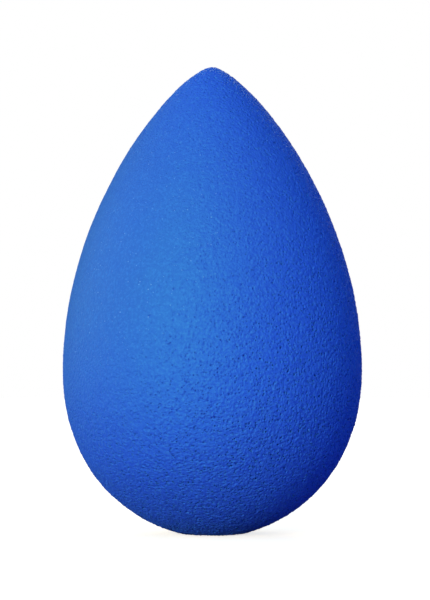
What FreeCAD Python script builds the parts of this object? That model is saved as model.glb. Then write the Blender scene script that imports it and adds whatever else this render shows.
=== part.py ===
import FreeCAD
import Part
import math
import os

# Makeup sponge: a teardrop of fine open-cell foam, all in one piece.
# Its form is turned about the upright Z axis, round end down and tip up.
# The origin is the centre of the small flat that the sponge stands on.
# Lengths are in millimetres, and angles in degrees.

# Overall sizes
standing_height = 61.0  # from the flat to the top of the tip
belly_diameter = 39.1  # across the widest section
belly_height = 21.35  # of the widest section, above the flat

# Tip: a small ball on the axis, which the flank leaves along its surface
tip_ball_radius = 1.75
tip_ball_angle = 12.0  # between the axis and the ring where the flank leaves the ball

# Flank, from the belly up to the tip: how far the curve is drawn out along its own end directions
flank_pull_at_belly = 21.4
flank_pull_at_tip = 4.65

# Round end, from the belly down to the axis, drawn out in the same way
round_end_pull_at_belly = 15.2
round_end_pull_at_axis = 8.1

# Flat: the slice of the round end that is taken off, so that the sponge stands
flat_depth = 0.5

# Room round the sponge for the tool that takes the slice off
cutter_margin = 5.0

AXIS_POINT = FreeCAD.Vector(0, 0, 0)
UP = FreeCAD.Vector(0, 0, 1)
OUT = FreeCAD.Vector(1, 0, 0)
FULL_TURN = 360


def at(radius, height):
    """A point of the outline, at that distance from the axis and above the flat."""
    return FreeCAD.Vector(radius, 0, height)


def drawn_curve(start, start_pull, end_pull, end):
    """A smooth edge that leaves start along start_pull and arrives at end against end_pull."""
    curve = Part.BezierCurve()
    curve.setPoles([start, start + start_pull, end + end_pull, end])
    return curve.toShape()


def outline():
    """Half of the sponge's outline, from the lowest point of the round end to the top of the tip."""
    angle = math.radians(tip_ball_angle)
    ball_centre = at(0, standing_height - tip_ball_radius)
    off_ball = at(math.sin(angle), math.cos(angle))
    down_flank = at(math.cos(angle), -math.sin(angle))
    half_way = at(math.sin(angle / 2), math.cos(angle / 2))

    bottom = at(0, -flat_depth)
    belly = at(belly_diameter / 2, belly_height)
    flank_top = ball_centre + off_ball * tip_ball_radius
    tip = at(0, standing_height)

    round_end = drawn_curve(bottom, OUT * round_end_pull_at_axis, UP * -round_end_pull_at_belly, belly)
    flank = drawn_curve(belly, UP * flank_pull_at_belly, down_flank * flank_pull_at_tip, flank_top)
    tip_cap = Part.Arc(flank_top, ball_centre + half_way * tip_ball_radius, tip).toShape()
    return [round_end, flank, tip_cap], bottom, tip


def turned_form():
    """The whole teardrop, before its flat is cut."""
    edges, bottom, tip = outline()
    axis_line = Part.LineSegment(tip, bottom).toShape()
    half_section = Part.Face(Part.Wire(edges + [axis_line]))
    return half_section.revolve(AXIS_POINT, UP, FULL_TURN)


def flat_cutter():
    """A round slab whose top is the plane that the sponge stands on."""
    thickness = flat_depth + cutter_margin
    radius = belly_diameter / 2 + cutter_margin
    return Part.makeCylinder(radius, thickness, at(0, -thickness), UP)


def foam_body():
    """The sponge: a turned teardrop with a small flat at its foot."""
    return turned_form().cut(flat_cutter())


def write_part(name, shape):
    """Writes one sub-part, as the solid or solids that it holds."""
    solids = shape.Solids
    piece = solids[0] if len(solids) == 1 else Part.makeCompound(solids)
    piece.exportStep(os.path.join("parts", name + ".step"))
    box = piece.BoundBox
    print(
        "%s: %d solid, valid %s, %.2f x %.2f x %.2f mm, %.1f mm3"
        % (name, len(solids), piece.isValid(), box.XLength, box.YLength, box.ZLength, piece.Volume)
    )


os.makedirs("parts", exist_ok=True)
write_part("foam_body", foam_body())
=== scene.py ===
import math

import bpy
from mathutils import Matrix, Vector


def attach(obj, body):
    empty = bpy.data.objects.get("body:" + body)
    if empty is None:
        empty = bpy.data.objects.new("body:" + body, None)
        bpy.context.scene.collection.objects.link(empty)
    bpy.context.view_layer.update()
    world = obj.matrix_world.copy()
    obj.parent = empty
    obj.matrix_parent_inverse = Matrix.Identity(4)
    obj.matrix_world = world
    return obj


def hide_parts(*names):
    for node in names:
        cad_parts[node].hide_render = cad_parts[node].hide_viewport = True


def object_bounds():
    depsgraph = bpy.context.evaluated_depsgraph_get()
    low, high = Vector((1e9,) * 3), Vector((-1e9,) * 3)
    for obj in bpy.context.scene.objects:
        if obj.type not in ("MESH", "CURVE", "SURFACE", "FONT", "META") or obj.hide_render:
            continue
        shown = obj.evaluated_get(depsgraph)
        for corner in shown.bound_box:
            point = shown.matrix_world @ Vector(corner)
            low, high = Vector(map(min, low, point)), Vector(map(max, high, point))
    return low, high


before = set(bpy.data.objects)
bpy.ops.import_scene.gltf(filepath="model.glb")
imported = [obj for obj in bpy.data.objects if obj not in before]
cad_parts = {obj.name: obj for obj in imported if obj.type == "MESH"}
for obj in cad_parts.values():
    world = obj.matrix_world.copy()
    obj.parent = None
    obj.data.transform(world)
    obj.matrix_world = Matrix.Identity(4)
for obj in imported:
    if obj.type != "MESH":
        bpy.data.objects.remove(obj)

# Makeup sponge: a teardrop of fine blue foam, standing on the small flat of its round end.
# Metres, +Z up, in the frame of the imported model.

mm = 0.001
white = (1, 1, 1, 1)
noiseDetail = 1.0  # one finer layer over each noise
cadLow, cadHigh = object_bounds()
spongeWidth = cadHigh.x - cadLow.x


def addNode(tree, kind, links=(), **settings):
    # a node with its settings, and what each of its inputs takes: a value, another node's
    # output, or another node, which stands for its first output
    node = tree.nodes.new(kind)
    for name, value in settings.items():
        setattr(node, name, value)
    for name, value in links:
        if isinstance(value, bpy.types.Node):
            value = value.outputs[0]
        if isinstance(value, bpy.types.NodeSocket):
            tree.links.new(value, node.inputs[name])
        else:
            node.inputs[name].default_value = value
    return node


def fromHex(colour):
    # sRGB hex to the linear numbers that the shaders use, by the sRGB standard's own curve
    parts = [int(colour[i:i + 2], 16) / 255 for i in (1, 3, 5)]
    linear = [c / 12.92 if c <= 0.04045 else ((c + 0.055) / 1.055) ** 2.4 for c in parts]
    return (*linear, 1.0)


photo = {
    "width": 430,  # px
    "height": 600,  # px
    "axisX": 212.2,  # px, the sponge's axis in the picture
    "tipY": 66.6,  # px, the top of its tip
    "bellyWidth": 299.5,  # px, across its widest section
}

camera = {
    "lens": 200,  # mm, long enough to draw the sponge without foreshortening
    "sensor": 36,  # mm, along the picture's height
    "near": 0.01,  # m, nearer than this it sees nothing
    "turn": (90, 0, 0),  # degrees: level, and facing the sponge
}


def placeCamera():
    pixel = spongeWidth / photo["bellyWidth"]  # m, at the sponge
    centreX = (photo["width"] / 2 - photo["axisX"]) * pixel
    centreZ = cadHigh.z - (photo["height"] / 2 - photo["tipY"]) * pixel
    distance = photo["height"] * pixel * camera["lens"] / camera["sensor"]
    bpy.ops.object.camera_add(location=(centreX, -distance, centreZ),
                              rotation=[math.radians(angle) for angle in camera["turn"]])
    shot = bpy.context.object
    shot.name = "photoCamera"
    shot.data.lens = camera["lens"]
    shot.data.sensor_width = camera["sensor"]
    shot.data.clip_start = camera["near"]
    bpy.context.scene.camera = shot
    print("camera: %.0f mm from the sponge" % (distance / mm))


placeCamera()

studio = {
    # where each window stands round the sponge, in degrees left of the camera and above the
    # floor, the angle that it fills as the sponge sees it, its strength and its light's colour
    "windows": [
        {"name": "frontWindow", "left": 24, "up": 9, "spread": 28, "power": 3.0,
         "colour": (1.0, 1.0, 0.72)},
        {"name": "sideWindow", "left": 112, "up": 8, "spread": 40, "power": 0.95,
         "colour": (0.75, 1.0, 0.65)},
        {"name": "backWindow", "left": 184, "up": 28, "spread": 30, "power": 0.9,
         "colour": (1.0, 1.0, 0.74)},
    ],
    "away": 0.5,  # m, where the lamps stand, which shine alike from any distance
    "room": 0.8,  # what comes from all sides: daylight from a clear sky
    "sky": "#70A9FF",
    "backdrop": (0.30, 0.95, 0.0),  # the way to the middle of the white behind the sponge
    "backdropEdge": (0.84, 0.97),  # how far along that way it begins, and is full
}


def lightStudio():
    for light in studio["windows"]:
        left, up = math.radians(light["left"]), math.radians(light["up"])
        out = math.cos(up)
        towards = Vector((-math.sin(left) * out, -math.cos(left) * out, math.sin(up)))
        bpy.ops.object.light_add(type="SUN", location=towards * studio["away"])
        window = bpy.context.object
        window.name = light["name"]
        window.rotation_euler = towards.to_track_quat("Z", "Y").to_euler()
        window.data.energy = light["power"]
        window.data.color = light["colour"]
        window.data.angle = math.radians(light["spread"])

    world = bpy.data.worlds.new("clearSky")
    world.use_nodes = True
    bpy.context.scene.world = world
    tree = world.node_tree
    tree.nodes.clear()
    # the camera sees white, matt surfaces get the sky's light, and gloss shows the white
    # behind the sponge and nothing else
    path = addNode(tree, "ShaderNodeLightPath")
    way = addNode(tree, "ShaderNodeTexCoord")
    along = addNode(tree, "ShaderNodeVectorMath",
                    [(0, way.outputs["Generated"]), (1, studio["backdrop"])],
                    operation="DOT_PRODUCT")
    start, full = studio["backdropEdge"]
    behind = addNode(tree, "ShaderNodeMapRange",
                     [("Value", along.outputs["Value"]), ("From Min", start), ("From Max", full)],
                     interpolation_type="SMOOTHSTEP")
    mirrored = addNode(tree, "ShaderNodeMath",
                       [(0, path.outputs["Is Glossy Ray"]),
                        (1, path.outputs["Is Transmission Ray"])],
                       operation="MAXIMUM")
    matt = addNode(tree, "ShaderNodeMath", [(0, 1.0), (1, mirrored)], operation="SUBTRACT")
    daylight = addNode(tree, "ShaderNodeMath", [(0, matt), (1, studio["room"])],
                       operation="MULTIPLY")
    backdrop = addNode(tree, "ShaderNodeMath", [(0, mirrored), (1, behind)],
                       operation="MULTIPLY")
    whiteHere = addNode(tree, "ShaderNodeMath",
                        [(0, path.outputs["Is Camera Ray"]), (1, backdrop)],
                        operation="MAXIMUM")
    strength = addNode(tree, "ShaderNodeMath", [(0, whiteHere), (1, daylight)],
                       operation="MAXIMUM")
    colour = addNode(tree, "ShaderNodeMix",
                     [("Factor", whiteHere), (6, fromHex(studio["sky"])), (7, white)],
                     data_type="RGBA")
    room = addNode(tree, "ShaderNodeBackground",
                   [("Color", colour.outputs[2]), ("Strength", strength)])
    addNode(tree, "ShaderNodeOutputWorld", [("Surface", room)])
    bpy.context.scene.view_settings.view_transform = "Standard"
    print("studio: %d windows and a clear sky" % len(studio["windows"]))


lightStudio()

floor = {
    "reach": 0.6,  # m, from the sponge to its edge
    "corners": 96,  # round that edge
    "paper": "#FFE0B0",  # warm, because the light that falls on it is cool
    "glow": 0.75,  # what it gives off over the windows' light, to be as white as the backdrop
    "card": "#1C1E94",  # what the sponge sees there: a deep blue card, which throws up little light
    "sheen": 0.1,  # how much of the paper shows in the gloss of the sponge's sides
}


def layPaper():
    bpy.ops.mesh.primitive_circle_add(vertices=floor["corners"], radius=floor["reach"],
                                      fill_type="NGON", location=(0, 0, cadLow.z))
    paper = bpy.context.object
    paper.name = "paper"
    bpy.ops.object.transform_apply()
    material = bpy.data.materials.new("whitePaper")
    material.use_nodes = True
    tree = material.node_tree
    tree.nodes.clear()
    # the camera sees white paper with the sponge's shadow, and the sponge sees the card
    path = addNode(tree, "ShaderNodeLightPath")
    matt = addNode(tree, "ShaderNodeBsdfDiffuse", [("Color", fromHex(floor["paper"]))])
    glow = addNode(tree, "ShaderNodeEmission", [("Color", white), ("Strength", floor["glow"])])
    lit = addNode(tree, "ShaderNodeAddShader", [(0, matt), (1, glow)])
    card = addNode(tree, "ShaderNodeBsdfDiffuse", [("Color", fromHex(floor["card"]))])
    seen = addNode(tree, "ShaderNodeMath",
                   [(0, path.outputs["Is Glossy Ray"]), (1, floor["sheen"]),
                    (2, path.outputs["Is Camera Ray"])],
                   operation="MULTIPLY_ADD")
    either = addNode(tree, "ShaderNodeMixShader", [(0, seen), (1, card), (2, lit)])
    addNode(tree, "ShaderNodeOutputMaterial", [("Surface", either)])
    paper.data.materials.append(material)
    print("floor: white paper")


layPaper()

sponge = {
    "node": "foam_body",
    "body": "root",
    "slot": "blue_foam",
    "merge": 0.001 * mm,  # corners of the turned form that lie closer than this are one
    "square": 0.42 * mm,  # side of the even squares that the skin starts from
    "evenOut": 12,  # rounds of smoothing over those squares
    "ease": 0.5,  # how far a corner goes in one round
    "levels": 2,  # times that each square is cut in four: 0.10 mm in the end
    "footHeight": 1.2 * mm,  # the foam round the flat, which has no sharp rim
    "footRounds": 10,  # of smoothing there
    "fill": 1.0,  # foam all through
    # relief of the skin: millimetres from one rise to the next, and from hollow to rise
    "rises": [
        {"apart": 8.0, "height": 0.12},
        {"apart": 1.6, "height": 0.10},
    ],
    # the same of its leathery grain, which is higher where the pores are more open
    "leather": {"apart": 0.33, "height": 0.13},
    # open pores: millimetres apart, smallest and largest radius, depth, and the share of
    # places that have one
    "pores": [
        {"apart": 0.44, "small": 0.10, "large": 0.19, "depth": 0.21, "share": 0.95},
        {"apart": 1.7, "small": 0.16, "large": 0.26, "depth": 0.32, "share": 0.2},
    ],
    "shallow": 0.25,  # depth of the shallowest pore beside the deepest
    # the skin closes over in a broad patch to the photo's left, and is most open low on its
    # right: 1 is as open as the numbers above say
    "closedAt": (-20.5, -14.5, 43.0),  # mm, beside the middle of that patch
    "openFrom": 2.0,  # mm from there, where it begins to open
    "openTo": 56.0,  # and where it is most open
    "leastOpen": 0.1,
    "mostOpen": 2.45,
    "sunk": 0.06,  # mm that the whole relief lies below the turned form
}


def applyModifier(piece, kind, **settings):
    modifier = piece.modifiers.new(kind.title(), kind)
    for name, value in settings.items():
        setattr(modifier, name, value)
    bpy.ops.object.modifier_apply(modifier=modifier.name)


def evenSkin():
    # the turned form again, in even squares that take a fine relief alike everywhere
    bpy.ops.object.select_all(action="DESELECT")
    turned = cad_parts[sponge["node"]]
    skin = bpy.data.objects.new("sponge", turned.data.copy())
    bpy.context.scene.collection.objects.link(skin)
    bpy.context.view_layer.objects.active = skin
    skin.select_set(True)
    bpy.ops.object.mode_set(mode="EDIT")
    bpy.ops.mesh.select_all(action="SELECT")
    bpy.ops.mesh.remove_doubles(threshold=sponge["merge"])
    bpy.ops.object.mode_set(mode="OBJECT")
    applyModifier(skin, "REMESH", mode="VOXEL", voxel_size=sponge["square"])
    applyModifier(skin, "SMOOTH", factor=sponge["ease"], iterations=sponge["evenOut"])
    applyModifier(skin, "SHRINKWRAP", target=turned, wrap_method="NEAREST_SURFACEPOINT")

    # the rim of the flat is rounded over, as foam is under its own weight
    foot = skin.vertex_groups.new(name="foot")
    low = [v.index for v in skin.data.vertices if v.co.z < sponge["footHeight"]]
    foot.add(low, 1.0, "REPLACE")
    applyModifier(skin, "SMOOTH", factor=sponge["ease"], iterations=sponge["footRounds"],
                  vertex_group="foot")
    print("sponge: %d even squares" % len(skin.data.polygons))
    applyModifier(skin, "SUBSURF", levels=sponge["levels"], render_levels=sponge["levels"])
    bpy.ops.object.shade_smooth()
    print("sponge: %d squares in the skin" % len(skin.data.polygons))
    return skin


def poreDepth(tree, place, pore):
    # 0 on the skin and 1 at the bottom of a pore, for round pores scattered through the foam
    cells = addNode(tree, "ShaderNodeTexVoronoi",
                    [("Vector", place), ("Scale", 1 / pore["apart"])], feature="F1")
    # each cell's own three chances: how wide its pore is, whether it has one, and how deep
    chance = addNode(tree, "ShaderNodeSeparateXYZ", [("Vector", cells.outputs["Color"])])
    radius = addNode(tree, "ShaderNodeMapRange",
                     [("Value", chance.outputs[0]),
                      ("To Min", pore["small"]), ("To Max", pore["large"])])
    distance = addNode(tree, "ShaderNodeMath",
                       [(0, cells.outputs["Distance"]), (1, pore["apart"])],
                       operation="MULTIPLY")
    inside = addNode(tree, "ShaderNodeMath", [(0, distance), (1, radius)], operation="DIVIDE")
    bowl = addNode(tree, "ShaderNodeMapRange",
                   [("Value", inside), ("From Min", 1.0), ("From Max", 0.0)],
                   interpolation_type="SMOOTHSTEP")
    here = addNode(tree, "ShaderNodeMath", [(0, chance.outputs[1]), (1, pore["share"])],
                   operation="LESS_THAN")
    deep = addNode(tree, "ShaderNodeMapRange",
                   [("Value", chance.outputs[2]), ("To Min", sponge["shallow"])])
    deepHere = addNode(tree, "ShaderNodeMath", [(0, here), (1, deep)], operation="MULTIPLY")
    return addNode(tree, "ShaderNodeMath", [(0, bowl), (1, deepHere)], operation="MULTIPLY")


def openness(tree, place):
    # how far the pores are open here, from the closed patch to the open side
    away = addNode(tree, "ShaderNodeVectorMath", [(0, place), (1, sponge["closedAt"])],
                   operation="DISTANCE")
    return addNode(tree, "ShaderNodeMapRange",
                   [("Value", away.outputs["Value"]),
                    ("From Min", sponge["openFrom"]), ("From Max", sponge["openTo"]),
                    ("To Min", sponge["leastOpen"]), ("To Max", sponge["mostOpen"])],
                   interpolation_type="SMOOTHSTEP")


def swing(tree, place, rise):
    # soft noise from one rise of the skin to the next, less its middle, so that it is about 0
    noise = addNode(tree, "ShaderNodeTexNoise",
                    [("Vector", place), ("Scale", 1 / rise["apart"]), ("Detail", noiseDetail)])
    return addNode(tree, "ShaderNodeMath", [(0, noise.outputs["Fac"]), (1, 0.5)],
                   operation="SUBTRACT")


def openSkin(skin):
    # the leathery rise and fall of the skin and its pores, as real relief
    tree = bpy.data.node_groups.new("openSkin", "GeometryNodeTree")
    tree.interface.new_socket("Geometry", in_out="INPUT", socket_type="NodeSocketGeometry")
    tree.interface.new_socket("Geometry", in_out="OUTPUT", socket_type="NodeSocketGeometry")
    given = addNode(tree, "NodeGroupInput")
    point = addNode(tree, "GeometryNodeInputPosition")
    outward = addNode(tree, "GeometryNodeInputNormal")
    place = addNode(tree, "ShaderNodeVectorMath", [(0, point), ("Scale", 1 / mm)],
                    operation="SCALE")
    openHere = openness(tree, place)

    height = -sponge["sunk"]  # mm, which each step adds to
    for rise in sponge["rises"]:
        height = addNode(tree, "ShaderNodeMath",
                         [(0, swing(tree, place, rise)), (1, rise["height"]), (2, height)],
                         operation="MULTIPLY_ADD")
    leather = sponge["leather"]
    grain = addNode(tree, "ShaderNodeMath", [(0, swing(tree, place, leather)), (1, openHere)],
                    operation="MULTIPLY")
    height = addNode(tree, "ShaderNodeMath",
                     [(0, grain), (1, leather["height"]), (2, height)],
                     operation="MULTIPLY_ADD")
    depth = 0.0  # of the deepest pore here, which the painted shade in the colour follows
    for pore in sponge["pores"]:
        one = addNode(tree, "ShaderNodeMath",
                      [(0, poreDepth(tree, place, pore)), (1, openHere)], operation="MULTIPLY")
        height = addNode(tree, "ShaderNodeMath", [(0, one), (1, -pore["depth"]), (2, height)],
                         operation="MULTIPLY_ADD")
        depth = addNode(tree, "ShaderNodeMath", [(0, depth), (1, one)], operation="MAXIMUM")

    metres = addNode(tree, "ShaderNodeMath", [(0, height), (1, mm)], operation="MULTIPLY")
    offset = addNode(tree, "ShaderNodeVectorMath", [(0, outward), ("Scale", metres)],
                     operation="SCALE")
    marked = addNode(tree, "GeometryNodeStoreNamedAttribute",
                     [("Geometry", given), ("Name", "pore"), ("Value", depth)],
                     data_type="FLOAT", domain="POINT")
    moved = addNode(tree, "GeometryNodeSetPosition",
                    [("Geometry", marked), ("Offset", offset)])
    addNode(tree, "NodeGroupOutput", [(0, moved)])
    applyModifier(skin, "NODES", node_group=tree)
    print("sponge: pores and grain in the skin")


foam = {
    # soft polyurethane foam, moulded with a fine open skin
    "closedAndLitFace": "#2E4EC2",  # the dyed foam where its skin is closed; partly painted light, as this paler, less deep blue lies on the side that faces the front window
    "openAndShadedFace": "#2A4AD4",  # and between open pores, a deeper blue; partly painted shade, as the open skin lies most on the shaded side
    "turns": (0.45, 1.6),  # how open the pores are where the one begins to give way, and is gone
    "deep": "#040F84",  # painted shade: the dark blue painted down in a pore, where the foam shades itself
    "poreShade": 0.30,  # how far an open pore goes towards that
    "cellShade": 0.25,  # and a fine cell
    # the finest open cells, as coarse as a picture of the whole sponge can show them
    "cells": {"apart": 0.40, "small": 0.10, "large": 0.17, "depth": 0.10, "share": 0.95},
    "pale": "#3A6ED2",  # thin walls of cells, which let light through
    "paleApart": 0.34,  # mm from one pale wall to the next
    "paleNoise": (0.45, 0.75),  # the noise where one begins, and is palest
    "paleShare": 0.6,  # how far the palest goes towards its colour
    "grain": 0.17,  # mm from one grain of the skin to the next
    "grainHeight": 0.07,  # mm from hollow to grain
    # thin walls that glint: a lower roughness, and a highlight painted into the colour, most of it
    # where the skin is half open
    "glints": {"apart": 0.50, "small": 0.07, "large": 0.13, "share": 0.7},
    "paintedGlint": "#A8D4F8",  # the painted highlight on those walls
    "paintedGlintShare": 2.2,  # a quarter of this is how far that painted highlight goes where the skin is half open
    "roughness": 0.65,  # of the closed skin
    "openRoughness": 0.7,  # of open foam
    "glintRoughness": 0.38,  # of a wall that glints
    "poreRoughness": 0.95,  # down in a pore
    "ior": 1.6,
    "gloss": 1.0,  # 0.5 is what the IOR alone gives
    "glint": (0.1, 1.0, 0.3, 1.0),  # light that glances off the cells comes back a little green
}


def blueFoam():
    # matt and deep blue in shade, with a soft light bloom where it faces a window
    material = bpy.data.materials.new("mouldedBlueFoam")
    material.use_nodes = True
    tree = material.node_tree
    tree.nodes.clear()
    place = addNode(tree, "ShaderNodeTexCoord")
    place = addNode(tree, "ShaderNodeMapping",
                    [("Vector", place.outputs["Object"]), ("Scale", (1 / mm, 1 / mm, 1 / mm))])
    openHere = openness(tree, place)

    # the two blues of the skin, partly painted light: the paler one on the lit side and the deeper
    # one on the shaded side; then pale walls of cells at random, and a painted highlight on walls
    # that glint
    closed, opened = foam["turns"]
    turned = addNode(tree, "ShaderNodeMapRange",
                     [("Value", openHere), ("From Min", closed), ("From Max", opened)])
    colour = addNode(tree, "ShaderNodeMix",
                     [("Factor", turned),
                      (6, fromHex(foam["closedAndLitFace"])), (7, fromHex(foam["openAndShadedFace"]))],
                     data_type="RGBA")
    pale = addNode(tree, "ShaderNodeTexNoise",
                   [("Vector", place), ("Scale", 1 / foam["paleApart"]),
                    ("Detail", noiseDetail)])
    paleStart, palest = foam["paleNoise"]
    pale = addNode(tree, "ShaderNodeMapRange",
                   [("Value", pale.outputs["Fac"]), ("From Min", paleStart),
                    ("From Max", palest), ("To Max", foam["paleShare"])])
    colour = addNode(tree, "ShaderNodeMix",
                     [("Factor", pale), (6, colour.outputs[2]), (7, fromHex(foam["pale"]))],
                     data_type="RGBA")
    # painted highlight: pale specks where cell walls glint, mostly in the half-open skin beside the
    # closed patch on the lit side
    glint = poreDepth(tree, place, foam["glints"])
    shut = addNode(tree, "ShaderNodeMath", [(0, 1.0), (1, openHere)], operation="SUBTRACT")
    halfOpen = addNode(tree, "ShaderNodeMath", [(0, openHere), (1, shut)], operation="MULTIPLY")
    paintedGlint = addNode(tree, "ShaderNodeMath", [(0, glint), (1, halfOpen)], operation="MULTIPLY")
    paintedGlint = addNode(tree, "ShaderNodeMath", [(0, paintedGlint), (1, foam["paintedGlintShare"])],
                   operation="MULTIPLY")
    colour = addNode(tree, "ShaderNodeMix",
                     [("Factor", paintedGlint), (6, colour.outputs[2]), (7, fromHex(foam["paintedGlint"]))],
                     data_type="RGBA")

    # painted shade: pores and cells are painted darker towards that deep blue, as the shade inside
    # them, the more so the more open they are, which is most on the shaded lower right
    pore = addNode(tree, "ShaderNodeAttribute", attribute_name="pore")
    pore = addNode(tree, "ShaderNodeMath",
                   [(0, pore.outputs["Fac"]), (1, foam["poreShade"])], operation="MULTIPLY")
    cell = addNode(tree, "ShaderNodeMath",
                   [(0, poreDepth(tree, place, foam["cells"])), (1, openHere)],
                   operation="MULTIPLY")
    shade = addNode(tree, "ShaderNodeMath", [(0, cell), (1, foam["cellShade"])],
                    operation="MULTIPLY")
    shade = addNode(tree, "ShaderNodeMath", [(0, pore), (1, shade)], operation="MAXIMUM")
    shade = addNode(tree, "ShaderNodeMath", [(0, shade), (1, openHere)], operation="MULTIPLY")
    shade = addNode(tree, "ShaderNodeMath", [(0, shade), (1, 1.0)], operation="MINIMUM")
    colour = addNode(tree, "ShaderNodeMix",
                     [("Factor", shade), (6, colour.outputs[2]), (7, fromHex(foam["deep"]))],
                     data_type="RGBA")

    # the finest cells and grain, too fine for the mesh
    grain = addNode(tree, "ShaderNodeTexNoise",
                    [("Vector", place), ("Scale", 1 / foam["grain"]), ("Detail", noiseDetail)])
    height = addNode(tree, "ShaderNodeMath",
                     [(0, grain.outputs["Fac"]), (1, foam["grainHeight"])],
                     operation="MULTIPLY")
    height = addNode(tree, "ShaderNodeMath",
                     [(0, cell), (1, -foam["cells"]["depth"]), (2, height)],
                     operation="MULTIPLY_ADD")
    bump = addNode(tree, "ShaderNodeBump",
                   [("Strength", 1.0), ("Distance", mm), ("Height", height)])

    roughness = addNode(tree, "ShaderNodeMapRange",
                        [("Value", turned),
                         ("To Min", foam["roughness"]), ("To Max", foam["openRoughness"])])
    roughness = addNode(tree, "ShaderNodeMapRange",
                        [("Value", glint),
                         ("To Min", roughness), ("To Max", foam["glintRoughness"])])
    roughness = addNode(tree, "ShaderNodeMapRange",
                        [("Value", shade),
                         ("To Min", roughness), ("To Max", foam["poreRoughness"])])
    shader = addNode(tree, "ShaderNodeBsdfPrincipled",
                     [("Base Color", colour.outputs[2]), ("Roughness", roughness),
                      ("IOR", foam["ior"]), ("Specular IOR Level", foam["gloss"]),
                      ("Specular Tint", foam["glint"]), ("Normal", bump)])
    addNode(tree, "ShaderNodeOutputMaterial", [("Surface", shader)])
    print("sponge: blue foam")
    return material


skin = evenSkin()
openSkin(skin)
skin.data.materials.clear()
skin.data.materials.append(blueFoam())
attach(skin, sponge["body"])
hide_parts(sponge["node"])
